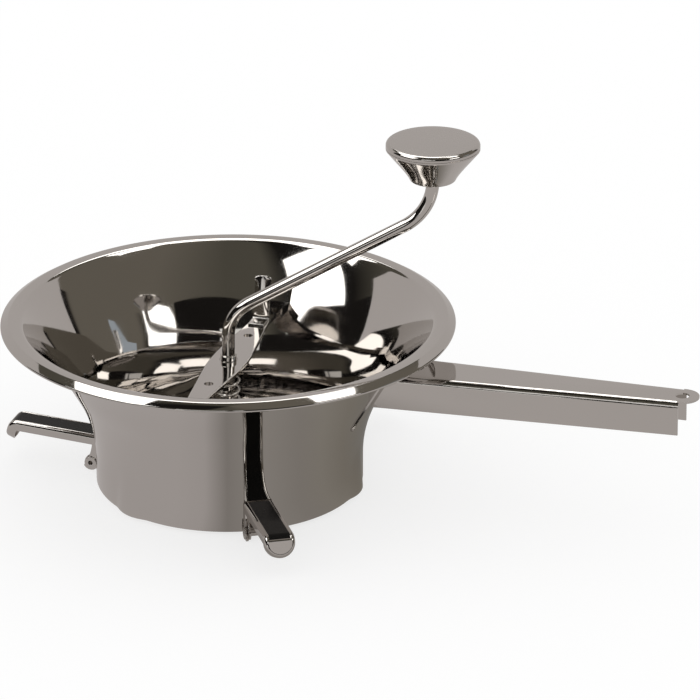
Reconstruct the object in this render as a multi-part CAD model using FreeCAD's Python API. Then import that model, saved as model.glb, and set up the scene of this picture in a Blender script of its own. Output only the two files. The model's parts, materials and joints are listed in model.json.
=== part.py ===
import FreeCAD, Part
import math
import os

# Hand-cranked food mill: a flared bowl with a side handle and three folding pan feet,
# a perforated disc in its floor, and a sprung crank that turns a helical blade on the disc.
# Millimetres. Z is the bowl's axis, Z = 0 is the bowl's bottom edge, the handle lies along +X.

V = FreeCAD.Vector
AXIS_X = V(1, 0, 0)
AXIS_Y = V(0, 1, 0)
AXIS_Z = V(0, 0, 1)
ORIGIN = V(0, 0, 0)

# ---------------------------------------------------------------- driving dimensions

# Clearances
weld_gap = 0.05            # between two sheets that are spot welded together
press_gap = 0.02           # on the radius of a pressed or riveted fit
running_gap = 0.05         # on the radius of a shaft that turns in its hole
side_gap = 0.3             # between flat faces that slide past each other

# Bowl
bowl_sheet = 0.8
wall_radius = 72.6         # outside of the upright wall
wall_height = 15.0         # height of the upright wall, before it flares
round_radius = 80.4        # outside, where the wall turns into the straight flare
rim_radius = 122.5         # widest, over the hem
rim_top = 95.4
rim_roll = 13.4            # radius of the top face that turns the flare outwards and down
rim_edge = 47.0            # bearing of the hem from the roll's centre, above level
rim_lap = 1.5              # of the straight flare that the rim's section takes in
hem_radius = 1.1           # of the edge, curled tight under the rim
lip_width = 4.0            # inward lip that carries the disc
pocket_count = 3
pocket_radius = 20.2       # of the pocket's round section, outside
pocket_depth = 2.2         # how far a pocket stands out at the bottom
pocket_top = 32.0          # height at which the pocket's axis has leant back by its depth

# Sieve disc
disc_sheet = 1.0
disc_edge_gap = 0.5
disc_ear_gap = 0.6
hole_radius = 2.2
hole_sides = 8             # the punch is eight sided
hole_pitch = 10.5
hole_first_ring = 17.5
hole_edge_margin = 6.0

# Side handle
handle_root_width = 30.6   # at handle_root_x
handle_root_x = 100.0
handle_tip_width = 21.6    # at the end of the flanges
handle_tip_x = 250.5       # end of the flanges, and centre of the round tongue
handle_height = 77.1       # of the top face at handle_root_x
handle_tilt = 0.75         # upwards, degrees
handle_depth = 18.4
handle_sheet = 1.0
handle_fold = 3.5          # outside radius of the folds
hang_hole_radius = 3.75
weld_ear_width = 7.0
weld_ear_low = 46.0
weld_ear_high = 74.0

# Folding feet
foot_azimuths = (180.0, -60.0, 60.0)
foot_width = 16.4
foot_sheet = 1.0
foot_depth = 5.5           # of the arm's side flanges
foot_fold = 2.2            # outside radius of the arm's long edges
foot_height = 18.1         # of the arm's top face where it meets the wall
foot_tilt = 3.7            # upwards, degrees
foot_reach = 47.5          # straight length of the arm
foot_tip_drop = 67.0       # of the bent tip, below level, degrees
foot_ear_length = 15.0     # of the deep ears, along the arm
foot_ear_lap = 3.3         # how far below the arm's top the ears start
foot_stop_gap = 0.3        # between the arm's inner end and the wall
foot_lobe_radius = 4.5
foot_pin_height = 2.2
pin_radius = 2.0
pin_bore = 1.2
pin_head_radius = 3.4
pin_head = 0.9
bracket_sheet = 1.0
bracket_low = 0.6
bracket_high = 12.5
bracket_ear_high = 10.5
bracket_lobe_radius = 3.8

# Crossbar across the bowl
bar_top = 69.5
bar_thickness = 2.0
bar_mid_half = 10.2        # half width at the middle
bar_end_half = 5.0         # half width at the bend
bar_bend = 57.0            # from the axis to the bend
bar_taper = 6.3            # of each side, degrees
bar_drop = 4.0             # of the end strips, below level, degrees
bar_end_gap = 3.0          # from the strip's end to the flare, level with the plate's underside
bar_hole_radius = 2.5
bar_hole_at = 34.7
bar_round = 0.6            # on the long top edges
tab_width = 9.2
tab_at = 59.0              # from the axis to the tab's outer face, at its root
tab_top = 94.0
tab_lean = 14.0            # outwards, degrees
tab_sheet = 1.2
tab_foot = 8.0             # length of the foot that lies on the bar
tab_bend = 2.4             # outside radius
tab_rivet_radius = 1.4
tab_rivet_head_radius = 2.5
tab_rivet_head = 0.6
lug_sheet = 1.2
lug_plate = 10.0           # length of the lug's plate along the bar
lug_skirt = 3.4            # depth of the lug's side walls
lug_weld_length = 9.0      # of the flange that lies on the flare

# Bush, spring and seat on the crank's shaft
bush_radius = 5.0
bush_flange_radius = 7.6
bush_flange = 1.0
seat_radius = 7.6
seat_thickness = 1.2
seat_height = 36.0         # underside of the seat washer
spring_mean_radius = 5.6
spring_wire = 1.4
spring_turns = 6
spring_steps = 14          # flats in each turn

# Crank
crank_azimuth = 16.5
rod_radius = 3.5
crank_rise = 28.25         # of the sloping part, degrees
crank_throw = 109.5        # from the shaft's axis to the knob's axis
crank_slope_z = 96.2       # where the sloping line meets the shaft's axis
crank_low_bend = 21.2
crank_high_bend = 28.7
pilot_radius = 3.0
pilot_low = -1.5
collar_radius = 4.4
collar_height = 3.0
collar_lift = 0.1          # above the crossbar
rod_past_clip = 0.6        # how far the rod's end stands past the knob's clip

# Blade and its hub
hub_radius = 7.2
hub_pin_radius = 1.25
hub_pin_height = 33.0
hub_pin_length = 17.0
blade_wall_gap = 2.2       # between the blade and the bowl's wall
blade_sheet = 1.2
blade_scrape_gap = 0.3     # above the disc
blade_rise = 27.0
blade_span = 215.0         # degrees
blade_flat = 25.0          # of the trailing part that lies level, degrees
blade_lead = -75.0         # azimuth of the raised edge
blade_sections = 15
blade_curl_ratio = 1.25          # 1 is an even ramp, more is steeper towards the raised edge
blade_corner = 14.0        # radius of the raised edge's outer corner

# Knob
knob_radius = 25.15
knob_lift = 1.0            # of the knob's base above the end of the crank's bend
knob_height = 21.95
knob_base_radius = 12.6
knob_waist_radius = 18.0   # half way up the hollow cone
knob_waist_height = 8.4    # above the knob's base
knob_brim_band = 1.15      # straight edge of the brim, under the cap
knob_cone_hollow = 0.45    # of the cone's profile, below the straight line
knob_brim_swell = 0.1      # of the profile under the brim, above the straight line
knob_cap_height = 3.4
knob_edge = 2.0            # radius of the top edge
knob_clip_radius = 6.0
knob_clip_thickness = 1.2
knob_end_gap = 2.95        # between the rod's end and the cap
knob_well_gap = 0.5

# ---------------------------------------------------------------- derived dimensions

roll_centre = (rim_radius - hem_radius
               - (rim_roll - hem_radius) * math.cos(math.radians(rim_edge)),
               rim_top - rim_roll)
round_centre = (wall_radius + round_radius, wall_height)
# The straight flare touches the round and the underside of the roll, which sets its angle.
centres_out = round_centre[0] - roll_centre[0]
centres_up = roll_centre[1] - round_centre[1]
flare = (math.atan2(centres_up, centres_out)
         - math.acos((round_radius - rim_roll + bowl_sheet) / math.hypot(centres_out, centres_up)))
flare_angle = math.degrees(flare)                   # from upright
flare_in = (-math.cos(flare), math.sin(flare))      # normal of the flare, towards the inside
flare_top = tuple(c + (rim_roll - bowl_sheet) * n for c, n in zip(roll_centre, flare_in))

disc_low = bowl_sheet
disc_top = disc_low + disc_sheet
disc_radius = wall_radius - bowl_sheet - disc_edge_gap
pocket_centre = wall_radius + pocket_depth - pocket_radius
blade_radius = wall_radius - bowl_sheet - blade_wall_gap

pin_reach = wall_radius + foot_stop_gap + foot_lobe_radius
arm_start = wall_radius + foot_stop_gap
bracket_half = foot_width / 2 - foot_sheet - side_gap

bar_low = bar_top - bar_thickness
bar_reach = (flare_top[0] - bowl_sheet * math.cos(flare)
             - (flare_top[1] + bowl_sheet * math.sin(flare) - bar_low) * math.tan(flare)
             - bar_end_gap)
bush_low = bar_low - bush_flange
seat_top = seat_height + seat_thickness
shaft_bore = rod_radius + running_gap
hub_low = disc_top + blade_scrape_gap
hub_top = seat_height - side_gap

# The crank: its sloping line meets the knob's axis here, and each bend is set back from its corner.
crank_turn = math.pi / 2 - math.radians(crank_rise)
crank_low_set = crank_low_bend * math.tan(crank_turn / 2)
crank_high_set = crank_high_bend * math.tan(crank_turn / 2)
crank_corner_z = crank_slope_z + crank_throw * math.tan(math.radians(crank_rise))

knob_base = crank_corner_z + crank_high_set + knob_lift
knob_waist = knob_base + knob_waist_height
knob_top = knob_base + knob_height
knob_cap_low = knob_top - knob_cap_height
knob_brim = knob_cap_low - knob_brim_band
rod_top = knob_cap_low - knob_end_gap
knob_clip_low = rod_top - rod_past_clip - knob_clip_thickness


# ---------------------------------------------------------------- drawing helpers

def in_xz(u, v):
    return V(u, 0, v)


def in_xy(u, v):
    return V(u, v, 0)


def in_yz(u, v):
    return V(0, u, v)


def face(plane, start, *moves):
    """A flat face: each move is an end point, or a (point on the arc, end point) pair."""
    edges = []
    here = start
    for move in moves:
        if isinstance(move[0], tuple):
            through, there = move
            edges.append(Part.Arc(plane(*here), plane(*through), plane(*there)).toShape())
        else:
            there = move
            edges.append(Part.LineSegment(plane(*here), plane(*there)).toShape())
        here = there
    if math.dist(here, start) > 1e-6:
        edges.append(Part.LineSegment(plane(*here), plane(*start)).toShape())
    return Part.Face(Part.Wire(edges))


def on_circle(centre, radius, degrees):
    angle = math.radians(degrees)
    return (centre[0] + radius * math.cos(angle), centre[1] + radius * math.sin(angle))


def tangent_point(point, centre, radius, side):
    """Where the line from a point touches a circle; side is +1 or -1."""
    gap = math.dist(point, centre)
    towards = math.degrees(math.atan2(point[1] - centre[1], point[0] - centre[0]))
    swing = math.degrees(math.acos(radius / gap))
    return on_circle(centre, radius, towards + side * swing)


def turned(shape, degrees, axis=AXIS_Z, centre=ORIGIN):
    copy = shape.copy()
    copy.rotate(centre, axis, degrees)
    return copy


def moved(shape, x=0.0, y=0.0, z=0.0):
    copy = shape.copy()
    copy.translate(V(x, y, z))
    return copy


def mirrored(shape, normal):
    return shape.mirror(ORIGIN, normal)


def revolved(section):
    return section.revolve(ORIGIN, AXIS_Z, 360)


def upright(radius, low, high, x=0.0, y=0.0):
    """A round bar standing along Z."""
    return Part.makeCylinder(radius, high - low, V(x, y, low), AXIS_Z)


def ring(outer, inner, low, high):
    return upright(outer, low, high).cut(upright(inner, low, high))


def block(x0, x1, y0, y1, z0, z1):
    return Part.makeBox(x1 - x0, y1 - y0, z1 - z0, V(x0, y0, z0))


def one_solid(shape):
    """The shape with its split faces joined, as one plain solid."""
    clean = shape.removeSplitter()
    if len(clean.Solids) == 1:
        return clean.Solids[0]
    return clean


# ---------------------------------------------------------------- bowl

def flare_point(depth_out, z):
    """A point of the straight flare at height z, depth_out outside the sheet's outer face."""
    base_r = flare_top[0] - depth_out * flare_in[0]
    base_z = flare_top[1] - depth_out * flare_in[1]
    return (base_r - (base_z - z) * math.tan(flare), z)


def flare_radius(depth_out, z):
    return flare_point(depth_out, z)[0]


def filled_bowl(depth_out, low):
    """The bowl's outside, grown by depth_out, as a full solid that reaches up to the rim."""
    radius = wall_radius + depth_out
    arc = round_radius - depth_out
    top = tuple(c - depth_out * n for c, n in zip(flare_top, flare_in))
    outline = face(
        in_xz,
        (0, low),
        (radius, low),
        (radius, wall_height),
        (on_circle(round_centre, arc, 180 - flare_angle / 2),
         on_circle(round_centre, arc, 180 - flare_angle)),
        top,
        (0, top[1]),
    )
    return revolved(outline)


def pockets(radius, low):
    """Leaning round bars that swell the wall where the disc's ears go."""
    lean = math.degrees(math.atan2(pocket_depth, pocket_top))
    bars = []
    for index in range(pocket_count):
        bar = upright(radius, -pocket_top, 2 * pocket_top, x=pocket_centre)
        bar.rotate(V(pocket_centre, 0, 0), AXIS_Y, -lean)
        keep = block(0, rim_radius, -pocket_radius, pocket_radius, low, pocket_top)
        bars.append(turned(bar.common(keep), index * 360.0 / pocket_count))
    return bars


def rolled_rim():
    """The sheet turned outwards over the top, and its edge curled into a hem."""
    start = 180 - flare_angle
    under_roll = rim_roll - bowl_sheet
    hem_out = rim_roll - hem_radius
    hem_centre = on_circle(roll_centre, hem_out, rim_edge)
    # The hem's circle runs on until it meets the rim's underside.
    meets = math.degrees(math.acos((under_roll ** 2 - hem_out ** 2 - hem_radius ** 2)
                                   / (2 * hem_out * hem_radius)))
    hem_end = rim_edge + meets - 360
    lap = tuple(f - rim_lap * d
                for f, d in zip(flare_top, (math.sin(flare), math.cos(flare))))
    outline = face(
        in_xz,
        on_circle(roll_centre, rim_roll, start),
        (on_circle(roll_centre, rim_roll, (start + rim_edge) / 2),
         on_circle(roll_centre, rim_roll, rim_edge)),
        (on_circle(hem_centre, hem_radius, (rim_edge + hem_end) / 2),
         on_circle(hem_centre, hem_radius, hem_end)),
        (on_circle(roll_centre, under_roll, (start + rim_edge) / 2), flare_top),
        lap,
        tuple(p + bowl_sheet * n for p, n in zip(lap, flare_in)),
    )
    return revolved(outline)


def make_bowl():
    outside = filled_bowl(0, 0).fuse(pockets(pocket_radius, 0))
    inside = filled_bowl(-bowl_sheet, bowl_sheet)
    inside = inside.fuse(pockets(pocket_radius - bowl_sheet, bowl_sheet))
    shell = outside.cut(inside)
    shell = shell.cut(upright(wall_radius - bowl_sheet - lip_width, -1, bowl_sheet + 1))
    return one_solid(shell.fuse(rolled_rim()))


def make_disc():
    disc = upright(disc_radius, disc_low, disc_top)
    ear_radius = pocket_radius - bowl_sheet - disc_ear_gap
    ear = upright(ear_radius, disc_low, disc_top, x=pocket_centre)
    for index in range(pocket_count):
        disc = disc.fuse(turned(ear, index * 360.0 / pocket_count))
    punches = [upright(pilot_radius + running_gap, disc_low - 1, disc_top + 1)]
    ring_radius = hole_first_ring
    while ring_radius < disc_radius - hole_edge_margin:
        count = int(2 * math.pi * ring_radius / hole_pitch)
        for index in range(count):
            corners = [on_circle((ring_radius, 0), hole_radius, 360.0 * k / hole_sides)
                       for k in range(hole_sides)]
            punch = face(in_xy, *corners).extrude(AXIS_Z * (disc_sheet + 2))
            punch = moved(punch, z=disc_low - 1)
            punches.append(turned(punch, 360.0 * index / count))
        ring_radius += hole_pitch
    return one_solid(disc.cut(Part.makeCompound(punches)))


# ---------------------------------------------------------------- side handle

def channel_section(x, half_width, depth, fold, inset):
    """An upside-down U's outer or inner outline at x, with its top at Z = -inset."""
    half = half_width - inset
    radius = fold - inset
    top = -inset
    corner = radius * (1 - math.sqrt(0.5))

    def at(y, z):
        return V(x, y, z)

    return Part.Wire([
        Part.LineSegment(at(-half, -depth), at(-half, top - radius)).toShape(),
        Part.Arc(at(-half, top - radius), at(-half + corner, top - corner),
                 at(-half + radius, top)).toShape(),
        Part.LineSegment(at(-half + radius, top), at(half - radius, top)).toShape(),
        Part.Arc(at(half - radius, top), at(half - corner, top - corner),
                 at(half, top - radius)).toShape(),
        Part.LineSegment(at(half, top - radius), at(half, -depth)).toShape(),
        Part.LineSegment(at(half, -depth), at(-half, -depth)).toShape(),
    ])


def handle_half_width(x):
    slope = (handle_tip_width - handle_root_width) / (handle_tip_x - handle_root_x)
    return (handle_root_width + slope * (x - handle_root_x)) / 2


def make_handle():
    start = wall_radius
    ends = (start, handle_tip_x)
    outer = Part.makeLoft([channel_section(x, handle_half_width(x), handle_depth,
                                           handle_fold, 0) for x in ends], True, True)
    inner = Part.makeLoft([channel_section(x, handle_half_width(x), handle_depth,
                                           handle_fold, handle_sheet) for x in ends], True, True)
    channel = outer.cut(inner)
    tongue_radius = handle_tip_width / 2 - handle_fold / 2
    tongue = upright(tongue_radius, -handle_sheet, 0, x=handle_tip_x)
    channel = channel.fuse(tongue.common(
        block(handle_tip_x - 1, handle_tip_x + rim_radius, -rim_radius, rim_radius,
              -handle_sheet, 0)))
    channel = channel.cut(upright(hang_hole_radius, -handle_depth, 1, x=handle_tip_x))
    channel = moved(channel, z=handle_height)
    channel = turned(channel, -handle_tilt, AXIS_Y, V(handle_root_x, 0, handle_height))
    channel = channel.cut(filled_bowl(weld_gap, 0))
    return one_solid(channel.fuse(weld_ears()))


def weld_ears():
    """Two strips bent sideways from the flanges, lying on the bowl."""
    skin = filled_bowl(weld_gap + handle_sheet, 0).cut(filled_bowl(weld_gap, 0))
    half = handle_half_width(flare_radius(0, handle_height - handle_depth))
    ear = skin.common(block(0, rim_radius, half - handle_sheet, half + weld_ear_width,
                            weld_ear_low, weld_ear_high))
    return [ear, mirrored(ear, AXIS_Y)]


# ---------------------------------------------------------------- folding feet

def arm_point(along, depth):
    """A point of the arm in the foot's own upright plane."""
    tilt = math.radians(foot_tilt)
    return (arm_start + along * math.cos(tilt) + depth * math.sin(tilt),
            foot_height + along * math.sin(tilt) - depth * math.cos(tilt))


def arm_solid(inset):
    """The arm, its bend and its round tip, as a solid with the faces moved in by inset."""
    half = foot_width / 2
    section = Part.Face(channel_section(0, half, foot_depth, foot_fold, inset))
    straight = section.extrude(V(foot_reach, 0, 0))
    turn = foot_tilt + foot_tip_drop
    hinge = V(foot_reach, 0, -foot_depth)
    at_bend = moved(section, x=foot_reach)
    bend = at_bend.revolve(hinge, AXIS_Y, turn)
    end_section = turned(at_bend, turn, AXIS_Y, hinge)
    half_plane = turned(block(foot_reach - half, foot_reach + half, 0, half, -foot_depth, 0),
                        turn, AXIS_Y, hinge)
    normal = V(math.sin(math.radians(turn)), 0, math.cos(math.radians(turn)))
    tip = end_section.common(half_plane).Faces[0].revolve(hinge, normal, -180)
    arm = straight.fuse([bend, tip])
    arm = turned(arm, -foot_tilt, AXIS_Y, ORIGIN)
    return moved(arm, x=arm_start, z=foot_height)


def foot_ear():
    """One deep ear: it hangs from the arm's flange and ends in a lobe round the pin."""
    centre = (pin_reach, foot_pin_height)
    corner = arm_point(foot_ear_length, foot_depth)
    touch = tangent_point(corner, centre, foot_lobe_radius, -1)
    low = on_circle(centre, foot_lobe_radius, -120)
    outline = face(
        in_xz,
        (arm_start, foot_pin_height),
        (arm_start, arm_point(0, foot_ear_lap)[1]),
        arm_point(foot_ear_length, foot_ear_lap),
        corner,
        touch,
        (low, (arm_start, foot_pin_height)),
    )
    return moved(outline.extrude(AXIS_Y * foot_sheet), y=foot_width / 2 - foot_sheet)


def pin_bar(radius, half_length):
    return Part.makeCylinder(radius, 2 * half_length,
                             V(pin_reach, -half_length, foot_pin_height), AXIS_Y)


def make_foot():
    arm = arm_solid(0).cut(arm_solid(foot_sheet))
    ear = foot_ear()
    foot = arm.fuse([ear, mirrored(ear, AXIS_Y)])
    return one_solid(foot.cut(pin_bar(pin_radius + press_gap, foot_width)))


def make_foot_pin():
    half = foot_width / 2
    pin = pin_bar(pin_radius, half + pin_head)
    heads = pin_bar(pin_head_radius, half + pin_head).cut(pin_bar(pin_head_radius, half))
    return one_solid(pin.fuse(heads).cut(pin_bar(pin_bore, half + 2 * pin_head)))


def make_foot_bracket():
    """A strip welded on the wall, with two ears that carry the foot's pin."""
    near = wall_radius + weld_gap
    far = near + bracket_sheet
    strip = ring(far, near, bracket_low, bracket_high)
    strip = strip.common(block(0, far, -bracket_half, bracket_half, 0, bracket_high))
    centre = (pin_reach, foot_pin_height)
    high = (far - bracket_sheet / 2, bracket_ear_high)
    low = (far - bracket_sheet / 2, bracket_low)
    outline = face(
        in_xz,
        low,
        high,
        tangent_point(high, centre, bracket_lobe_radius, -1),
        (on_circle(centre, bracket_lobe_radius, -20),
         tangent_point(low, centre, bracket_lobe_radius, 1)),
    )
    ear = moved(outline.extrude(AXIS_Y * bracket_sheet), y=bracket_half - bracket_sheet)
    bracket = strip.fuse([ear, mirrored(ear, AXIS_Y)])
    return one_solid(bracket.cut(pin_bar(pin_radius + running_gap, foot_width)))


# ---------------------------------------------------------------- crossbar

def bar_outline():
    """The lozenge: straight tapering sides that run into a round at the middle."""
    taper = math.radians(bar_taper)
    apex = bar_end_half + bar_bend * math.tan(taper)
    radius = (apex - bar_mid_half) / (1 / math.cos(taper) - 1)
    touch_y = radius * math.sin(taper)
    touch_x = apex - touch_y * math.tan(taper)
    return face(
        in_xy,
        (bar_end_half, -bar_bend),
        (touch_x, -touch_y),
        ((bar_mid_half, 0), (touch_x, touch_y)),
        (bar_end_half, bar_bend),
        (-bar_end_half, bar_bend),
        (-touch_x, touch_y),
        ((-bar_mid_half, 0), (-touch_x, -touch_y)),
        (-bar_end_half, -bar_bend),
    )


def strip_frame(shape):
    """Carries a shape drawn level, with X outwards from the bend, onto the rear end strip."""
    dropped = turned(shape, bar_drop, AXIS_Y)
    return turned(moved(dropped, x=bar_bend, z=bar_top), 90)


def end_strip():
    length = bar_reach - bar_bend
    round_at = length - bar_end_half
    strip = block(0, round_at, -bar_end_half, bar_end_half, -bar_thickness, 0)
    strip = one_solid(strip.fuse(upright(bar_end_half, -bar_thickness, 0, x=round_at)))
    return strip_frame(strip)


def make_crossbar():
    plate = moved(bar_outline().extrude(AXIS_Z * bar_thickness), z=bar_low)
    long_edges = [edge for edge in plate.Edges
                  if abs(edge.CenterOfMass.z - bar_top) < 1e-6
                  and abs(edge.CenterOfMass.y) < bar_bend - bar_round]
    plate = plate.makeFillet(bar_round, long_edges)
    strip = end_strip()
    bar = plate.fuse([strip, mirrored(strip, AXIS_Y)])
    bar = bar.cut(upright(bush_radius + press_gap, bar_low - 1, bar_top + 1))
    for side in (-1, 1):
        bar = bar.cut(upright(bar_hole_radius, bar_low - 1, bar_top + 1, y=side * bar_hole_at))
    rivet_hole = upright(tab_rivet_radius + press_gap, bar_low - 1, bar_top + 1, y=rivet_at())
    return one_solid(bar.cut(rivet_hole))


def rivet_at():
    """The tab's rivet goes through the middle of its level foot."""
    return tab_at - tab_bend - tab_foot / 2


def make_release_tab():
    """A finger tab that leans outwards; its foot lies on the bar, inside of the bend."""
    half = tab_width / 2
    centre = (tab_at - tab_bend, bar_top + tab_bend)
    hollow = tab_bend - tab_sheet
    turn = 90 - tab_lean
    length = (tab_top - centre[1]) / math.cos(math.radians(tab_lean))
    up = (math.sin(math.radians(tab_lean)), math.cos(math.radians(tab_lean)))
    outer_root = on_circle(centre, tab_bend, turn - 90)
    inner_root = on_circle(centre, hollow, turn - 90)
    profile = face(
        in_yz,
        (centre[0] - tab_foot, bar_top),
        (centre[0], bar_top),
        (on_circle(centre, tab_bend, turn / 2 - 90), outer_root),
        tuple(p + length * u for p, u in zip(outer_root, up)),
        tuple(p + length * u for p, u in zip(inner_root, up)),
        inner_root,
        (on_circle(centre, hollow, turn / 2 - 90), (centre[0], bar_top + tab_sheet)),
        (centre[0] - tab_foot, bar_top + tab_sheet),
    )
    tab = moved(profile.extrude(AXIS_X * tab_width), x=-half)
    round_at = V(0, inner_root[0], inner_root[1] + length - half)
    rounding = Part.makeCylinder(half, 2 * tab_width, round_at - AXIS_Y * tab_width, AXIS_Y)
    corners = block(-tab_width, tab_width, -tab_width, tab_width, 0, tab_width)
    corners = moved(corners, y=round_at.y, z=round_at.z).cut(rounding)
    tab = tab.cut(turned(corners, -tab_lean, AXIS_X, V(0, *inner_root)))
    hole = upright(tab_rivet_radius + press_gap, bar_low, tab_top, y=rivet_at())
    return one_solid(tab.cut(hole))


def make_tab_rivet():
    """A rivet through the tab's foot and the bar, with a flat head each side."""
    low, high = bar_low, bar_top + tab_sheet
    head = tab_rivet_head_radius
    rivet = upright(tab_rivet_radius, low, high)
    rivet = rivet.fuse([upright(head, high, high + tab_rivet_head),
                        upright(head, low - tab_rivet_head, low)])
    return one_solid(moved(rivet, y=rivet_at()))


def make_lug():
    """The rear lug: a plate over the bar's end, side walls, and a flange on the flare."""
    half = bar_end_half + side_gap + lug_sheet
    reach = bar_reach - bar_bend
    start = reach - lug_plate
    top = lug_sheet + weld_gap
    cap = block(start, reach + lug_plate, -half, half, weld_gap, top)
    skirt = block(start, reach + lug_plate, half - lug_sheet, half, -lug_skirt, top)
    saddle = strip_frame(cap.fuse([skirt, mirrored(skirt, AXIS_Y)]))
    wall_side = -(bowl_sheet + weld_gap)
    saddle = saddle.common(filled_bowl(wall_side, bowl_sheet))
    # The plate's sloping underside meets the flare here.
    drop = math.tan(math.radians(bar_drop))
    level_r = flare_radius(wall_side, 0)
    low = (bar_top + weld_gap - (level_r - bar_bend) * drop) / (1 + drop * math.tan(flare))
    high = low + lug_weld_length
    flange = revolved(face(
        in_xz,
        flare_point(wall_side, low), flare_point(wall_side, high),
        flare_point(wall_side - lug_sheet, high), flare_point(wall_side - lug_sheet, low)))
    flange = flange.common(block(-half, half, 0, rim_radius, 0, rim_radius))
    return one_solid(saddle.fuse(flange))


# ---------------------------------------------------------------- bush, spring and seat

def make_bush():
    bush = upright(bush_radius, bar_low, bar_top)
    bush = bush.fuse(upright(bush_flange_radius, bush_low, bar_low))
    return one_solid(bush.cut(upright(shaft_bore, bush_low - 1, bar_top + 1)))


def make_seat():
    return ring(seat_radius, shaft_bore, seat_height, seat_top)


def make_spring():
    """A compression spring of square wire, closed flat at both ends."""
    low = seat_top
    length = bush_low - seat_top
    wire = spring_wire
    climb = length - wire
    inner = spring_mean_radius - wire / 2
    outer = spring_mean_radius + wire / 2
    steps = spring_turns * spring_steps
    sections = []
    for step in range(steps + 1):
        turn = step / spring_steps
        share = min(max((turn - 0.5) / (spring_turns - 1), 0), 1)
        z = low + climb * share
        corners = ((inner, z), (outer, z), (outer, z + wire), (inner, z + wire))
        wire_at = Part.makePolygon([in_xz(*c) for c in corners + corners[:1]])
        sections.append(turned(wire_at, 360.0 * turn))
    return Part.makeLoft(sections, True, True)


# ---------------------------------------------------------------- crank

def crank_path():
    """The rod's centre line in its own upright plane, from the collar's level to the knob."""
    rise = math.radians(crank_rise)
    along = (math.cos(rise), math.sin(rise))
    low_corner = (0, crank_slope_z)
    high_corner = (crank_throw, crank_corner_z)
    low_start = (0, crank_slope_z - crank_low_set)
    low_end = tuple(c + crank_low_set * a for c, a in zip(low_corner, along))
    high_start = tuple(c - crank_high_set * a for c, a in zip(high_corner, along))
    high_end = (crank_throw, crank_corner_z + crank_high_set)
    low_centre = (crank_low_bend, low_start[1])
    high_centre = (crank_throw - crank_high_bend, high_end[1])
    half_turn = math.degrees(crank_turn) / 2
    low_mid = on_circle(low_centre, crank_low_bend, 180 - half_turn)
    high_mid = on_circle(high_centre, crank_high_bend, -half_turn)
    line = Part.LineSegment
    return Part.Wire([
        line(in_xz(0, hub_low), in_xz(*low_start)).toShape(),
        Part.Arc(in_xz(*low_start), in_xz(*low_mid), in_xz(*low_end)).toShape(),
        line(in_xz(*low_end), in_xz(*high_start)).toShape(),
        Part.Arc(in_xz(*high_start), in_xz(*high_mid), in_xz(*high_end)).toShape(),
        line(in_xz(*high_end), in_xz(crank_throw, rod_top)).toShape(),
    ])


def hub_pin(radius):
    return Part.makeCylinder(radius, hub_pin_length, V(0, -hub_pin_length / 2, hub_pin_height),
                             AXIS_Y)


def make_crank_rod():
    path = crank_path()
    circle = Part.Wire([Part.Circle(V(0, 0, hub_low), AXIS_Z, rod_radius).toShape()])
    rod = path.makePipeShell([circle], True, False)
    rod = rod.fuse(upright(pilot_radius, pilot_low, hub_low))
    rod = rod.cut(hub_pin(hub_pin_radius + press_gap))
    return turned(one_solid(rod), crank_azimuth)


def make_collar():
    low = bar_top + collar_lift
    return ring(collar_radius, rod_radius + press_gap, low, low + collar_height)


def make_hub():
    hub = ring(hub_radius, rod_radius + press_gap, hub_low, hub_top)
    return turned(one_solid(hub.cut(hub_pin(hub_pin_radius + press_gap))), crank_azimuth)


def make_hub_pin():
    return turned(hub_pin(hub_pin_radius), crank_azimuth)


def blade_height(degrees):
    """Height of the blade's underside, by the angle from its trailing edge."""
    share = max(0.0, (degrees - blade_flat) / (blade_span - blade_flat))
    return hub_low + blade_rise * share ** blade_curl_ratio


def make_blade():
    """A half-turn ramp: level where it presses food on the disc, raised at its leading edge."""
    sections = []
    for step in range(blade_sections):
        degrees = blade_span * step / (blade_sections - 1)
        low = blade_height(degrees)
        inner, outer = hub_radius / 2, blade_radius + blade_corner
        corners = ((inner, low), (outer, low), (outer, low + blade_sheet),
                   (inner, low + blade_sheet))
        wire = Part.makePolygon([in_xz(*c) for c in corners + corners[:1]])
        sections.append(turned(wire, -degrees))
    ramp = Part.makeLoft(sections, True, False)
    height = hub_low + blade_rise + blade_sheet + 1
    keep = ring(blade_radius, hub_radius + press_gap, 0, height)
    ramp = ramp.common(keep)
    corner = block(blade_radius - blade_corner, blade_radius + 1, -1, blade_corner, 0, height)
    corner = corner.cut(upright(blade_corner, 0, height, x=blade_radius - blade_corner,
                                y=blade_corner))
    ramp = ramp.cut(turned(corner, -blade_span))
    return turned(one_solid(ramp), blade_lead + blade_span)


# ---------------------------------------------------------------- knob

def make_knob():
    """A turned knob: a hollowed cone under a flat brim, bored for the crank's stem."""
    well_low = knob_clip_low - knob_well_gap
    low_mid = ((knob_base_radius + knob_waist_radius) / 2 - knob_cone_hollow,
               (knob_base + knob_waist) / 2)
    high_mid = ((knob_waist_radius + knob_radius) / 2 + knob_brim_swell,
                (knob_waist + knob_brim) / 2)
    outline = face(
        in_xz,
        (shaft_bore, knob_base),
        (knob_base_radius, knob_base),
        (low_mid, (knob_waist_radius, knob_waist)),
        (high_mid, (knob_radius, knob_brim)),
        (knob_radius, knob_cap_low),
        (knob_clip_radius + knob_well_gap, knob_cap_low),
        (knob_clip_radius + knob_well_gap, well_low),
        (shaft_bore, well_low),
    )
    return on_stem(revolved(outline))


def make_knob_cap():
    edge = (knob_radius - knob_edge, knob_top - knob_edge)
    outline = face(
        in_xz,
        (0, knob_cap_low),
        (knob_radius, knob_cap_low),
        (knob_radius, knob_top - knob_edge),
        (on_circle(edge, knob_edge, 45), (knob_radius - knob_edge, knob_top)),
        (0, knob_top),
    )
    return on_stem(revolved(outline))


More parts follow.
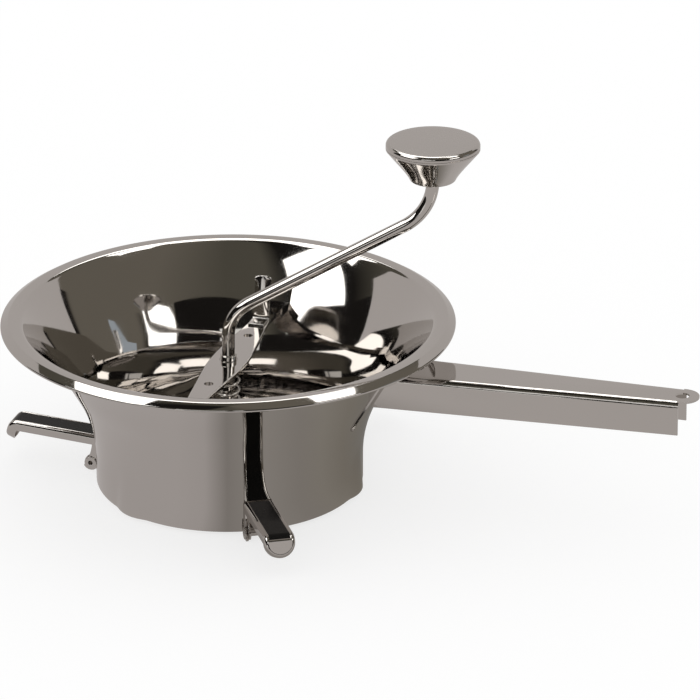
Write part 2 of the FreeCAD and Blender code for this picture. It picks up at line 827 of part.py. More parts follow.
def make_knob_clip():
    clip = ring(knob_clip_radius, rod_radius + press_gap, knob_clip_low,
                knob_clip_low + knob_clip_thickness)
    return on_stem(clip)


def on_stem(shape):
    return turned(moved(shape, x=crank_throw), crank_azimuth)


# ---------------------------------------------------------------- all nodes

def all_nodes():
    nodes = {
        "bowl": make_bowl(),
        "sieve_disc": make_disc(),
        "side_handle": make_handle(),
        "crossbar": make_crossbar(),
        "release_tab": make_release_tab(),
        "tab_rivet": make_tab_rivet(),
        "crossbar_bush": make_bush(),
        "spring_seat": make_seat(),
        "blade_spring": make_spring(),
        "crank_rod": make_crank_rod(),
        "crank_collar": make_collar(),
        "blade_hub": make_hub(),
        "hub_pin": make_hub_pin(),
        "blade": make_blade(),
        "knob": make_knob(),
        "knob_cap": make_knob_cap(),
        "knob_clip": make_knob_clip(),
    }
    rear_lug = make_lug()
    nodes["lug_rear"] = rear_lug
    nodes["lug_front"] = mirrored(rear_lug, AXIS_Y)
    foot, pin, bracket = make_foot(), make_foot_pin(), make_foot_bracket()
    for number, azimuth in enumerate(foot_azimuths, start=1):
        nodes["foot_%d" % number] = turned(foot, azimuth)
        nodes["foot_pin_%d" % number] = turned(pin, azimuth)
        nodes["foot_bracket_%d" % number] = turned(bracket, azimuth)
    return nodes


os.makedirs("parts", exist_ok=True)
for name, shape in all_nodes().items():
    shape.exportStep("parts/%s.step" % name)
    print(name, "solids", len(shape.Solids), "valid", shape.isValid(),
          "volume", round(shape.Volume, 1))
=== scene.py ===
import json
import math

import bmesh
import bpy
from mathutils import Matrix, Vector
from mathutils.geometry import interpolate_bezier

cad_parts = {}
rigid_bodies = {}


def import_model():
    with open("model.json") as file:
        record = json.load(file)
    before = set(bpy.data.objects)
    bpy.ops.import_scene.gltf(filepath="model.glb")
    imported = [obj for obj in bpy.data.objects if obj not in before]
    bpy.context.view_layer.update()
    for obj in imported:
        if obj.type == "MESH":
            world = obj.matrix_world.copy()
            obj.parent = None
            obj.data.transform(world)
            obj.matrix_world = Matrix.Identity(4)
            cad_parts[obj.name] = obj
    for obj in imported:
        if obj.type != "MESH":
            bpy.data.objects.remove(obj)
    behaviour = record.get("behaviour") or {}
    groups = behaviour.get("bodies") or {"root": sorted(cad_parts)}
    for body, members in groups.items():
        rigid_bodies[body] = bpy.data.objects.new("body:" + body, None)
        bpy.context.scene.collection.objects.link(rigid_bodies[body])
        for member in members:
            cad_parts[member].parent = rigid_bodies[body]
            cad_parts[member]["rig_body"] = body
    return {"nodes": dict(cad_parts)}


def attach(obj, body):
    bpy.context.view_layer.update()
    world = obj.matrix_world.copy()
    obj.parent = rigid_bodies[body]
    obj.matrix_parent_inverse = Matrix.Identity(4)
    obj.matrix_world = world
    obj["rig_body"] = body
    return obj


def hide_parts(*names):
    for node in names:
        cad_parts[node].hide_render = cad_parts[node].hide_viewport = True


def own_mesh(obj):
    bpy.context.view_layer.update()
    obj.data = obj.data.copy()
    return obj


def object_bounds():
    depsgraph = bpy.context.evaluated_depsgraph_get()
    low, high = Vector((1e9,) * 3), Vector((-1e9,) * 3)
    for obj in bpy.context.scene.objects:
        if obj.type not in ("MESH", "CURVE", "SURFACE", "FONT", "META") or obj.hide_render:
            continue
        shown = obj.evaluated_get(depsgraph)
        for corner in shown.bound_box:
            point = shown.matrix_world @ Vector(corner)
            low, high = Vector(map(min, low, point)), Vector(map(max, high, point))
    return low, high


# A hand-cranked food mill of polished stainless steel. Metres. Z is the bowl's axis, Z = 0 is the
# bowl's bottom edge, and the handle lies along +X.

MM = 0.001

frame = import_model()
cad_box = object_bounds()


# ---------------------------------------------------------------- measures

FULL_TURN = 2 * math.pi
QUARTER_TURN = math.pi / 2

BOWL_SEGMENTS = 480
SHEET = 0.8 * MM
WALL_RADIUS = 72.6 * MM
WALL_HEIGHT = 15.0 * MM
ROUND_RADIUS = 80.4 * MM               # outside, where the wall turns into the flare
FLARE_LOW = math.radians(29.505)       # from upright, where the round ends
FLARE_HIGH = math.radians(46.0)        # at the top, as the flare opens
FLARE_RADIUS = 119.0 * MM              # of the opening flare's curve, inside
FLARE_STRAIGHT = 13.0 * MM             # between the two curves
LIP_RADIUS = 67.8 * MM                 # inner edge of the lip under the disc
FOOT_BEND = 1.8 * MM                   # outside radius between wall and lip
RIM_TOP = 95.38 * MM
RIM_CROWN = 50.0 * MM                  # radius of the rim's slightly crowned top face
RIM_INNER = 113.0 * MM                 # where the crowned face starts
RIM_BEND = 1.7 * MM                    # radius of the bend above the skirt
RIM_BEND_AT = 117.7 * MM
HEM_RADIUS = 1.05 * MM
HEM_CENTRE = (121.4 * MM, 92.2 * MM)
POCKET_COUNT = 3
POCKET_SPACING = FULL_TURN / POCKET_COUNT
POCKET_RADIUS = 20.2 * MM
POCKET_DEPTH = 2.2 * MM
POCKET_TOP = 32.0 * MM
POCKET_BLEND = 0.35 * MM               # how softly a pocket runs into the wall

DISC_RADIUS = 71.3 * MM
DISC_LOW = 0.8 * MM
DISC_SHEET = 1.0 * MM
DISC_EAR_RADIUS = 18.8 * MM
DISC_EAR_CENTRE = 54.6 * MM
DISC_HOLE = 2.2 * MM
DISC_FIRST_RING = 17.5 * MM
DISC_PITCH = 10.5 * MM
DISC_MARGIN = 6.0 * MM                 # from the last ring of holes to the edge
PILOT_HOLE = 3.05 * MM

HUB_RADIUS = 7.2 * MM
BLADE_RADIUS = 69.6 * MM
BLADE_LOW = 2.1 * MM
BLADE_RISE = 27.0 * MM
BLADE_SPAN = 215.0                     # degrees
BLADE_FLAT = 25.0                      # of the trailing part that lies level, degrees
BLADE_LEAD = -75.0                     # azimuth of the raised edge
BLADE_CURL = 1.25
BLADE_SHEET = 1.2 * MM
BLADE_CORNER = 14.0 * MM
BLADE_HUB_GAP = 0.02 * MM

SPRING_LOW = 37.2 * MM
SPRING_HIGH = 66.5 * MM
SPRING_RADIUS = 5.6 * MM
SPRING_WIRE = 0.7 * MM                 # radius
SPRING_TURNS = 6

BAR_TOP = 69.5 * MM
TAB_AT = 59.0 * MM                     # from the axis to the tab's outer face, at its root
TAB_TOP = 94.0 * MM
TAB_LEAN = math.radians(14.0)          # outwards
TAB_BEND = 2.4 * MM                    # outside radius
TAB_SHEET = 1.2 * MM
TAB_FOOT = 8.0 * MM
TAB_WIDTH = 9.2 * MM
TAB_BOW = 0.9 * MM
TAB_STRIPS = 12                        # lengthwise strips that carry the bow
TAB_END_POWER = (5, 0.3)               # of the curve that rounds its free end
TAB_END_LEAST = 0.1                    # floor of that curve before its second power
TAB_EDGE = 0.35 * MM

FOOT_AZIMUTHS = {"foot_1": 180.0, "foot_2": -60.0, "foot_3": 60.0}
FOOT_BORDER = 0.35 * MM                # steel left round the black inlay on a foot
FOOT_INLAY = 0.25 * MM
FOOT_FLAT = 6.1 * MM                   # half the width between the arm's rounded edges
EAR_CORNER = (88.22 * MM, 13.58 * MM)  # where the ear's outer edge leaves the arm
EAR_SLIDE = Vector((-11.6, 0, -0.75)) * MM  # that corner's way in to the real narrow neck
EAR_SAG = 0.9 * MM                     # how far the neck curves in
EAR_STEPS = 7                          # cuts that carry the neck's curve
EAR_FIND = 0.05 * MM                   # how near the corner a point is to count as it
EAR_DROP = 5 * MM                      # least drop of the edges that become the neck
INLAY_RISE = 0.6                       # least upward share of an inlaid face's normal
INLAY_OUT = -0.1                       # least outward share of it
INLAY_LOW = 16 * MM                    # the inlay keeps above this height

CRANK_AZIMUTH = math.radians(16.5)
CRANK_THROW = 109.5 * MM
CRANK_RISE = math.radians(28.25)       # of the sloping part
CRANK_SLOPE_Z = 96.2 * MM              # where the sloping line meets the shaft's axis
CRANK_LOW_BEND = 21.2 * MM
CRANK_HIGH_BEND = 28.7 * MM
ROD_RADIUS = 3.5 * MM
ROD_LOW = 2.1 * MM
ROD_TOP = 188.796 * MM
ROD_CHAMFER = 0.4 * MM
PILOT_RADIUS = 3.0 * MM
PILOT_LOW = -1.5 * MM

KNOB_BASE = 173.196 * MM
KNOB_BRIM = 190.596 * MM
KNOB_CAP_LOW = 191.746 * MM
KNOB_TOP = 195.146 * MM
KNOB_RADIUS = 25.15 * MM
KNOB_BASE_RADIUS = 12.6 * MM
KNOB_BORE = 3.55 * MM
KNOB_WELL = 6.5 * MM
KNOB_WELL_LOW = 186.487 * MM
KNOB_EDGE = 2.0 * MM
KNOB_FOOT = 1.6 * MM                   # radius of the rounding at its foot
KNOB_FOOT_TURN = math.radians(65)
KNOB_LOW_HAND = Vector((2.0, 4.3)) * MM  # the side's curve leaves the foot this way
KNOB_HAND_IN = 5.1 * MM                # and comes to the brim from this far in and down
KNOB_HAND_DOWN = 6.3 * MM
KNOB_LAND = 0.25 * MM                  # chamfer between the side and the brim
CAP_CROWN = 0.25 * MM
CAP_CHAMFER = 0.2 * MM
CAP_EDGE_TURN = math.radians(86)
CAP_STEPS = 8

MERGE_GAP = 2e-6                       # joins the split corners of a CAD node's mesh
FLAT_ANGLE = math.radians(0.5)         # faces that turn by less become one again
CREASE = 35                            # degrees; edges that turn by more stay sharp


# ---------------------------------------------------------------- mesh helpers

def verts_in(items):
    return [item for item in items if isinstance(item, bmesh.types.BMVert)]


def wires(bm):
    return list(bm.verts) + list(bm.edges)


def path_start(bm, radius, height):
    """The first point of a profile in the XZ plane."""
    return bm.verts.new((radius, 0, height))


def path_line(bm, start, radius, height, cuts=0):
    """Runs the profile straight on to a point, with even points on the way."""
    goal = Vector((radius, 0, height))
    step = (goal - start.co) / (cuts + 1)
    vert = start
    for _ in range(cuts + 1):
        made = bmesh.ops.extrude_vert_indiv(bm, verts=[vert])
        vert = made["verts"][0]
        vert.co = vert.co + step
    return vert


def path_arc(bm, start, centre_radius, centre_height, angle, steps):
    """Runs the profile on round a centre; a positive angle turns from +X towards +Z."""
    made = bmesh.ops.spin(bm, geom=[start], cent=(centre_radius, 0, centre_height),
                          axis=(0, -1, 0), angle=angle, steps=steps)
    return verts_in(made["geom_last"])[0]


def spin_round(bm, steps):
    """Turns the whole profile round Z into a closed surface."""
    bmesh.ops.spin(bm, geom=wires(bm), cent=(0, 0, 0), axis=(0, 0, 1), angle=FULL_TURN,
                   steps=steps, use_merge=True)


def turn_about_z(bm, angle):
    bmesh.ops.rotate(bm, cent=(0, 0, 0), verts=bm.verts, matrix=Matrix.Rotation(angle, 3, "Z"))


def thicken(bm, sheet):
    """Gives a surface its sheet's thickness, upwards."""
    made = bmesh.ops.extrude_face_region(bm, geom=list(bm.faces))
    bmesh.ops.translate(bm, vec=(0, 0, sheet), verts=verts_in(made["geom"]))


def fill_open_ends(bm):
    bmesh.ops.holes_fill(bm, edges=[edge for edge in bm.edges if edge.is_boundary])


def close_up(bm, gap=1e-6):
    bmesh.ops.remove_doubles(bm, verts=bm.verts, dist=gap)
    bmesh.ops.recalc_face_normals(bm, faces=bm.faces)


def sharpen(bm, degrees=CREASE):
    """Smooth faces, with the edges that turn by more than the angle kept sharp."""
    limit = math.radians(degrees)
    for face in bm.faces:
        face.smooth = True
    for edge in bm.edges:
        if len(edge.link_faces) == 2:
            edge.smooth = edge.calc_face_angle(0) < limit


def new_object(name, bm, material):
    """Turns the bmesh into an object with one material."""
    mesh = bpy.data.meshes.new(name)
    bm.to_mesh(mesh)
    bm.free()
    piece = bpy.data.objects.new(name, mesh)
    bpy.context.scene.collection.objects.link(piece)
    mesh.materials.append(material)
    return piece


def make_piece(name, bm, body, slot, *nodes):
    """Turns the bmesh into a piece that rides on a body and stands for CAD nodes."""
    piece = new_object(name, bm, finish[slot])
    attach(piece, body)
    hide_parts(*nodes)
    return piece


def node_copy(node):
    """A merged copy of a CAD node's mesh, with its flat faces whole again."""
    bm = bmesh.new()
    bm.from_mesh(frame["nodes"][node].data)
    bmesh.ops.remove_doubles(bm, verts=bm.verts, dist=MERGE_GAP)
    bmesh.ops.dissolve_limit(bm, angle_limit=FLAT_ANGLE, verts=bm.verts, edges=bm.edges)
    return bm


def round_edges(piece, width, degrees=CREASE):
    """Rounds the sharp edges, so that they catch the light as a deburred sheet does."""
    bevel = piece.modifiers.new("round", "BEVEL")
    bevel.width = width
    bevel.segments = 3
    bevel.limit_method = "ANGLE"
    bevel.angle_limit = math.radians(degrees)
    bevel.harden_normals = True


# ---------------------------------------------------------------- finishes

STEEL = (0.60, 0.575, 0.55)
STEEL_SHADE = 0.94                     # of its slightly darker patches
STEEL_SMEAR = 0.05                     # roughness that the wipe marks add
RIPPLE = 0.02                          # strength and scale of the pressed sheet's slow waves
RIPPLE_SCALE = 28.0
ROUGHNESS = {
    "bowl_steel": 0.035,
    "disc_steel": 0.10,
    "handle_steel": 0.05,
    "foot_steel": 0.05,
    "bar_steel": 0.05,
    "rod_steel": 0.04,
    "blade_steel": 0.05,
    "bush_steel": 0.12,
    "rivet_steel": 0.12,
    "spring_steel": 0.15,
    "knob_metal": 0.08,
}
ENAMEL = (0.008, 0.0075, 0.007)


def new_material(name):
    material = bpy.data.materials.new(name)
    material.use_nodes = True
    return material, material.node_tree.nodes, material.node_tree.links


def new_node(material, kind, **inputs):
    node = material.node_tree.nodes.new(kind)
    for key, value in inputs.items():
        node.inputs[key.replace("_", " ")].default_value = value
    return node


def polished_steel(name, roughness):
    """Mirror-polished steel with faint wipe marks and the slow ripple of pressed sheet."""
    material, nodes, links = new_material(name)
    shader = nodes["Principled BSDF"]
    shader.inputs["Metallic"].default_value = 1.0
    place = new_node(material, "ShaderNodeTexCoord")

    tone = new_node(material, "ShaderNodeTexNoise", Scale=9.0, Detail=3.0, Roughness=0.6)
    shade = new_node(material, "ShaderNodeMix")
    shade.data_type = "RGBA"
    shade.inputs["A"].default_value = (*[STEEL_SHADE * c for c in STEEL], 1)
    shade.inputs["B"].default_value = (*STEEL, 1)
    links.new(place.outputs["Object"], tone.inputs["Vector"])
    links.new(tone.outputs["Fac"], shade.inputs["Factor"])
    links.new(shade.outputs["Result"], shader.inputs["Base Color"])

    wipe = new_node(material, "ShaderNodeTexNoise", Scale=60.0, Detail=5.0, Roughness=0.65)
    dull = new_node(material, "ShaderNodeMapRange", From_Min=0.35, From_Max=0.75,
                    To_Min=roughness, To_Max=roughness + STEEL_SMEAR)
    links.new(place.outputs["Object"], wipe.inputs["Vector"])
    links.new(wipe.outputs["Fac"], dull.inputs["Value"])
    links.new(dull.outputs["Result"], shader.inputs["Roughness"])

    wave = new_node(material, "ShaderNodeTexNoise", Scale=RIPPLE_SCALE, Detail=1.0,
                    Roughness=0.4)
    bump = new_node(material, "ShaderNodeBump", Strength=RIPPLE, Distance=0.001)
    links.new(place.outputs["Object"], wave.inputs["Vector"])
    links.new(wave.outputs["Fac"], bump.inputs["Height"])
    links.new(bump.outputs["Normal"], shader.inputs["Normal"])
    return material


finish = {name: polished_steel(name, roughness) for name, roughness in ROUGHNESS.items()}


def black_enamel(name):
    """The black coat on the feet: glossy, with a faint grain."""
    material, nodes, links = new_material(name)
    shader = nodes["Principled BSDF"]
    shader.inputs["Base Color"].default_value = (*ENAMEL, 1)
    shader.inputs["Specular IOR Level"].default_value = 0.10
    place = new_node(material, "ShaderNodeTexCoord")
    grain = new_node(material, "ShaderNodeTexNoise", Scale=900.0, Detail=2.0)
    dull = new_node(material, "ShaderNodeMapRange", To_Min=0.22, To_Max=0.40)
    bump = new_node(material, "ShaderNodeBump", Strength=0.15, Distance=0.0002)
    links.new(place.outputs["Object"], grain.inputs["Vector"])
    links.new(grain.outputs["Fac"], dull.inputs["Value"])
    links.new(dull.outputs["Result"], shader.inputs["Roughness"])
    links.new(grain.outputs["Fac"], bump.inputs["Height"])
    links.new(bump.outputs["Normal"], shader.inputs["Normal"])
    return material


black_coat = black_enamel("black_coat")


# ---------------------------------------------------------------- bowl

def wall_at(height):
    """The wall's outside radius at a height, without its pockets."""
    up = max(0.0, height - WALL_HEIGHT)
    return WALL_RADIUS + ROUND_RADIUS - math.sqrt(ROUND_RADIUS ** 2 - up ** 2)


def pocket_push(angle, height):
    """How far a pocket swells the wall outwards, at an angle from the pocket's middle."""
    wall = wall_at(height)
    centre = WALL_RADIUS + POCKET_DEPTH * (1 - height / POCKET_TOP) - POCKET_RADIUS
    side = centre * math.sin(angle)
    if abs(side) >= POCKET_RADIUS or abs(angle) > QUARTER_TURN / 3:
        return 0.0
    excess = centre * math.cos(angle) + math.sqrt(POCKET_RADIUS ** 2 - side ** 2) - wall
    soft = 0.5 * (excess + math.hypot(excess, 2 * POCKET_BLEND))
    fade = min(1.0, max(0.0, 1 + excess / (6 * POCKET_BLEND)))
    return soft * fade * fade * (3 - 2 * fade)


def from_pocket(x, y):
    """The angle from the middle of the nearest pocket, where the disc's ear lies."""
    half = POCKET_SPACING / 2
    return (math.atan2(y, x) + half) % POCKET_SPACING - half


def swell_pockets(bm):
    """Pushes the wall and its foot bend out where the disc's three ears go."""
    for vert in bm.verts:
        x, y, z = vert.co
        radius = math.hypot(x, y)
        if z > POCKET_TOP or wall_at(z) - radius > FOOT_BEND * 1.01:
            continue
        push = pocket_push(from_pocket(x, y), max(z, 0.0)) / radius
        vert.co.x += x * push
        vert.co.y += y * push


def bowl_face(bm, depth):
    """One face of the bowl's sheet in section, from the lip to the hem; depth 0 is the inside."""
    flare_in = Vector((-math.cos(FLARE_HIGH), math.sin(FLARE_HIGH)))
    round_in = Vector((-math.cos(FLARE_LOW), math.sin(FLARE_LOW)))
    round_centre = Vector((WALL_RADIUS + ROUND_RADIUS, WALL_HEIGHT))
    flare_up = Vector((math.sin(FLARE_LOW), math.cos(FLARE_LOW)))
    flare_start = (round_centre + (ROUND_RADIUS + SHEET - depth) * round_in
                   + FLARE_STRAIGHT * flare_up)
    flare_centre = flare_start - (FLARE_RADIUS - depth) * round_in
    crown_centre = Vector((RIM_BEND_AT, RIM_TOP - RIM_CROWN))
    crown_angle = math.asin((RIM_BEND_AT - RIM_INNER) / RIM_CROWN)
    crown_start = Vector((-math.sin(crown_angle), math.cos(crown_angle)))
    lean = flare_in.dot(crown_start)
    reach = flare_in.dot(flare_centre - crown_centre) + FLARE_RADIUS
    roll_radius = (reach - RIM_CROWN * lean) / (1 - lean)
    roll_centre = crown_centre + (RIM_CROWN - roll_radius) * crown_start
    roll_start = roll_centre + (roll_radius - depth) * flare_in
    roll_angle = QUARTER_TURN - FLARE_HIGH - crown_angle
    bend_centre = Vector((RIM_BEND_AT, RIM_TOP - RIM_BEND))
    to_hem = Vector(HEM_CENTRE) - bend_centre
    skirt_bearing = (math.atan2(to_hem.y, to_hem.x)
                     + math.acos((RIM_BEND - HEM_RADIUS) / to_hem.length))
    skirt_out = Vector((math.cos(skirt_bearing), math.sin(skirt_bearing)))
    skirt_end = Vector(HEM_CENTRE) + (HEM_RADIUS - depth) * skirt_out

    first = path_start(bm, LIP_RADIUS, SHEET - depth)
    vert = path_line(bm, first, WALL_RADIUS - FOOT_BEND, SHEET - depth, 1)
    vert = path_arc(bm, vert, WALL_RADIUS - FOOT_BEND, FOOT_BEND, QUARTER_TURN, 6)
    vert = path_line(bm, vert, WALL_RADIUS - SHEET + depth, WALL_HEIGHT, 9)
    vert = path_arc(bm, vert, *round_centre, -FLARE_LOW, 22)
    vert = path_line(bm, vert, flare_start.x, flare_start.y, 1)
    vert = path_arc(bm, vert, *flare_centre, FLARE_LOW - FLARE_HIGH, 18)
    vert = path_line(bm, vert, roll_start.x, roll_start.y)
    vert = path_arc(bm, vert, *roll_centre, -roll_angle, 12)
    vert = path_arc(bm, vert, *crown_centre, -crown_angle, 5)
    vert = path_arc(bm, vert, *bend_centre, skirt_bearing - QUARTER_TURN, 5)
    vert = path_line(bm, vert, skirt_end.x, skirt_end.y)
    return first, vert


def make_bowl():
    bm = bmesh.new()
    inside_low, inside_high = bowl_face(bm, 0.0)
    outside_low, outside_high = bowl_face(bm, SHEET)
    hem_end = path_arc(bm, inside_high, *HEM_CENTRE, math.radians(-200), 12)
    bm.edges.new((hem_end, outside_high))
    bm.edges.new((inside_low, outside_low))
    spin_round(bm, BOWL_SEGMENTS)
    close_up(bm, 1e-5)
    swell_pockets(bm)
    sharpen(bm, 40)
    make_piece("bowl_shell", bm, "root", "bowl_steel", "bowl")


# ---------------------------------------------------------------- disc and blade

def make_disc():
    """The loose sieve disc: three ears, rings of punched holes and the shaft's pilot hole."""
    bm = bmesh.new()
    outline = bmesh.ops.create_circle(bm, segments=360, radius=DISC_RADIUS)["verts"]
    for vert in outline:
        angle = from_pocket(vert.co.x, vert.co.y)
        side = DISC_EAR_CENTRE * math.sin(angle)
        if abs(side) < DISC_EAR_RADIUS and abs(angle) < POCKET_SPACING / 4:
            ear = DISC_EAR_CENTRE * math.cos(angle) + math.sqrt(DISC_EAR_RADIUS ** 2 - side ** 2)
            vert.co *= max(1.0, ear / DISC_RADIUS)
    bmesh.ops.create_circle(bm, segments=32, radius=PILOT_HOLE)
    ring = DISC_FIRST_RING
    while ring < DISC_RADIUS - DISC_MARGIN:
        count = int(FULL_TURN * ring / DISC_PITCH)
        for index in range(count):
            angle = FULL_TURN * index / count
            place = Matrix.Translation((ring * math.cos(angle), ring * math.sin(angle), 0))
            bmesh.ops.create_circle(bm, segments=20, radius=DISC_HOLE, matrix=place)
        ring += DISC_PITCH
    bmesh.ops.triangle_fill(bm, use_beauty=True, edges=bm.edges)
    thicken(bm, DISC_SHEET)
    bmesh.ops.translate(bm, vec=(0, 0, DISC_LOW), verts=bm.verts)
    close_up(bm)
    sharpen(bm)
    make_piece("sieve_disc_sheet", bm, "root", "disc_steel", "sieve_disc")


def blade_height(degrees):
    share = max(0.0, (degrees - BLADE_FLAT) / (BLADE_SPAN - BLADE_FLAT))
    return BLADE_LOW + BLADE_RISE * share ** BLADE_CURL


def make_blade():
    """The ramp that presses food through the disc, from its level trailing part upwards."""
    bm = bmesh.new()
    first = path_start(bm, HUB_RADIUS + BLADE_HUB_GAP, 0)
    path_line(bm, first, BLADE_RADIUS, 0, 11)
    bmesh.ops.spin(bm, geom=wires(bm), cent=(0, 0, 0), axis=(0, 0, 1),
                   angle=-math.radians(BLADE_SPAN), steps=129)
    for vert in bm.verts:
        radius = math.hypot(vert.co.x, vert.co.y)
        degrees = -math.degrees(math.atan2(vert.co.y, vert.co.x)) % 360
        if degrees > 359.5:            # a rounding error short of a whole turn
            degrees = 0.0
        vert.co.z = blade_height(degrees)
        to_edge = radius * math.sin(math.radians(min(90.0, max(0.0, BLADE_SPAN - degrees))))
        if to_edge < BLADE_CORNER:
            limit = (BLADE_RADIUS - BLADE_CORNER
                     + math.sqrt(BLADE_CORNER ** 2 - (BLADE_CORNER - to_edge) ** 2))
            share = (radius - HUB_RADIUS) / (BLADE_RADIUS - HUB_RADIUS)
            scaled = HUB_RADIUS + share * (min(BLADE_RADIUS, limit) - HUB_RADIUS)
            vert.co.x *= scaled / radius
            vert.co.y *= scaled / radius
    thicken(bm, BLADE_SHEET)
    turn_about_z(bm, math.radians(BLADE_LEAD + BLADE_SPAN))
    close_up(bm)
    sharpen(bm)
    make_piece("ramp_blade", bm, "crank", "blade_steel", "blade")


# ---------------------------------------------------------------- spring, crank and knob

def make_spring():
    bm = bmesh.new()
    turn = Matrix.Rotation(QUARTER_TURN, 4, "X")
    bmesh.ops.create_circle(bm, segments=12, radius=SPRING_WIRE,
                            matrix=Matrix.Translation((SPRING_RADIUS, 0, 0)) @ turn)
    per_turn = 36
    climb = SPRING_HIGH - SPRING_LOW - 2 * SPRING_WIRE
    steps = per_turn * SPRING_TURNS
    bmesh.ops.spin(bm, geom=wires(bm), cent=(0, 0, 0), axis=(0, 0, 1),
                   angle=FULL_TURN * SPRING_TURNS, steps=steps, dvec=(0, 0, climb / steps))
    fill_open_ends(bm)
    for vert in bm.verts:
        share = vert.co.z / climb * SPRING_TURNS
        level = min(max((share - 0.5) / (SPRING_TURNS - 1), 0.0), 1.0) * climb
        vert.co.z += level - share / SPRING_TURNS * climb
    bmesh.ops.translate(bm, vec=(0, 0, SPRING_LOW + SPRING_WIRE), verts=bm.verts)
    close_up(bm)
    sharpen(bm, 50)
    piece = make_piece("spring_coil", bm, "root", "spring_steel", "blade_spring")
    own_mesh(piece)


def rod_arc(bm, ring, centre_x, centre_z, angle, steps):
    """Carries the rod's open end round a bend in the XZ plane and returns the new end."""
    made = bmesh.ops.spin(bm, geom=ring, cent=(centre_x, 0, centre_z), axis=(0, -1, 0),
                          angle=angle, steps=steps)
    return made["geom_last"]


def rod_run(bm, ring, along):
    """Carries the rod's open end straight on and returns the new end."""
    edges = [item for item in ring if isinstance(item, bmesh.types.BMEdge)]
    made = bmesh.ops.extrude_edge_only(bm, edges=edges)["geom"]
    ends = verts_in(made)
    bmesh.ops.translate(bm, vec=along, verts=ends)
    return ends + [item for item in made if isinstance(item, bmesh.types.BMEdge)
                   and all(vert in ends for vert in item.verts)]


def make_crank():
    """One round bar: the shaft, a bend, the sloping arm, a bend and the knob's stem."""
    bm = bmesh.new()
    turn = QUARTER_TURN - CRANK_RISE
    low_set = CRANK_LOW_BEND * math.tan(turn / 2)
    high_set = CRANK_HIGH_BEND * math.tan(turn / 2)
    corner_z = CRANK_SLOPE_Z + CRANK_THROW * math.tan(CRANK_RISE)
    slope = CRANK_THROW / math.cos(CRANK_RISE) - low_set - high_set
    made = bmesh.ops.create_circle(bm, segments=40, radius=ROD_RADIUS - ROD_CHAMFER,
                                   matrix=Matrix.Translation((0, 0, ROD_LOW)))["verts"]
    ring = made + list({edge for vert in made for edge in vert.link_edges})
    ring = rod_run(bm, ring, (0, 0, ROD_CHAMFER))
    wide = ROD_RADIUS / (ROD_RADIUS - ROD_CHAMFER)
    bmesh.ops.scale(bm, vec=(wide, wide, 1), verts=verts_in(ring))
    ring = rod_run(bm, ring, (0, 0, CRANK_SLOPE_Z - low_set - ROD_LOW - ROD_CHAMFER))
    ring = rod_arc(bm, ring, CRANK_LOW_BEND, CRANK_SLOPE_Z - low_set, -turn, 24)
    ring = rod_run(bm, ring, (slope * math.cos(CRANK_RISE), 0, slope * math.sin(CRANK_RISE)))
    ring = rod_arc(bm, ring, CRANK_THROW - CRANK_HIGH_BEND, corner_z + high_set, turn, 28)
    rod_run(bm, ring, (0, 0, ROD_TOP - corner_z - high_set))
    pilot = Matrix.Translation((0, 0, (PILOT_LOW + ROD_LOW) / 2))
    fill_open_ends(bm)
    bmesh.ops.create_cone(bm, cap_ends=True, segments=32, radius1=PILOT_RADIUS - ROD_CHAMFER,
                          radius2=PILOT_RADIUS, depth=ROD_LOW - PILOT_LOW, matrix=pilot)
    turn_about_z(bm, CRANK_AZIMUTH)
    close_up(bm)
    sharpen(bm)
    make_piece("crank_bar", bm, "crank", "rod_steel", "crank_rod")


def onto_stem(bm):
    """Moves a turned piece from Z out to the crank's stem."""
    place = Matrix.Rotation(CRANK_AZIMUTH, 4, "Z") @ Matrix.Translation((CRANK_THROW, 0, 0))
    bmesh.ops.transform(bm, matrix=place, verts=bm.verts)


def make_knob():
    """The turned knob under its cap: a hollowed cone, rounded at its foot."""
    bm = bmesh.new()
    first = path_start(bm, KNOB_BORE, KNOB_BASE)
    vert = path_line(bm, first, KNOB_BASE_RADIUS - KNOB_FOOT, KNOB_BASE)
    vert = path_arc(bm, vert, KNOB_BASE_RADIUS - KNOB_FOOT, KNOB_BASE + KNOB_FOOT,
                    KNOB_FOOT_TURN, 6)
    start = Vector((vert.co.x, vert.co.z))
    low_hand = start + KNOB_LOW_HAND
    high_hand = Vector((KNOB_RADIUS - KNOB_HAND_IN, KNOB_BRIM - KNOB_HAND_DOWN))
    side = interpolate_bezier(start.to_3d(), low_hand.to_3d(), high_hand.to_3d(),
                              (KNOB_RADIUS - KNOB_LAND, KNOB_BRIM, 0), 20)
    for point in side[1:]:
        vert = path_line(bm, vert, point.x, point.y)
    vert = path_line(bm, vert, KNOB_RADIUS, KNOB_BRIM + KNOB_LAND)
    vert = path_line(bm, vert, KNOB_RADIUS, KNOB_CAP_LOW)
    vert = path_line(bm, vert, KNOB_WELL, KNOB_CAP_LOW)
    vert = path_line(bm, vert, KNOB_WELL, KNOB_WELL_LOW)
    vert = path_line(bm, vert, KNOB_BORE, KNOB_WELL_LOW)
    bm.edges.new((vert, first))
    spin_round(bm, 96)
    onto_stem(bm)
    close_up(bm)
    sharpen(bm, 30)
    make_piece("knob_body", bm, "knob", "knob_metal", "knob")


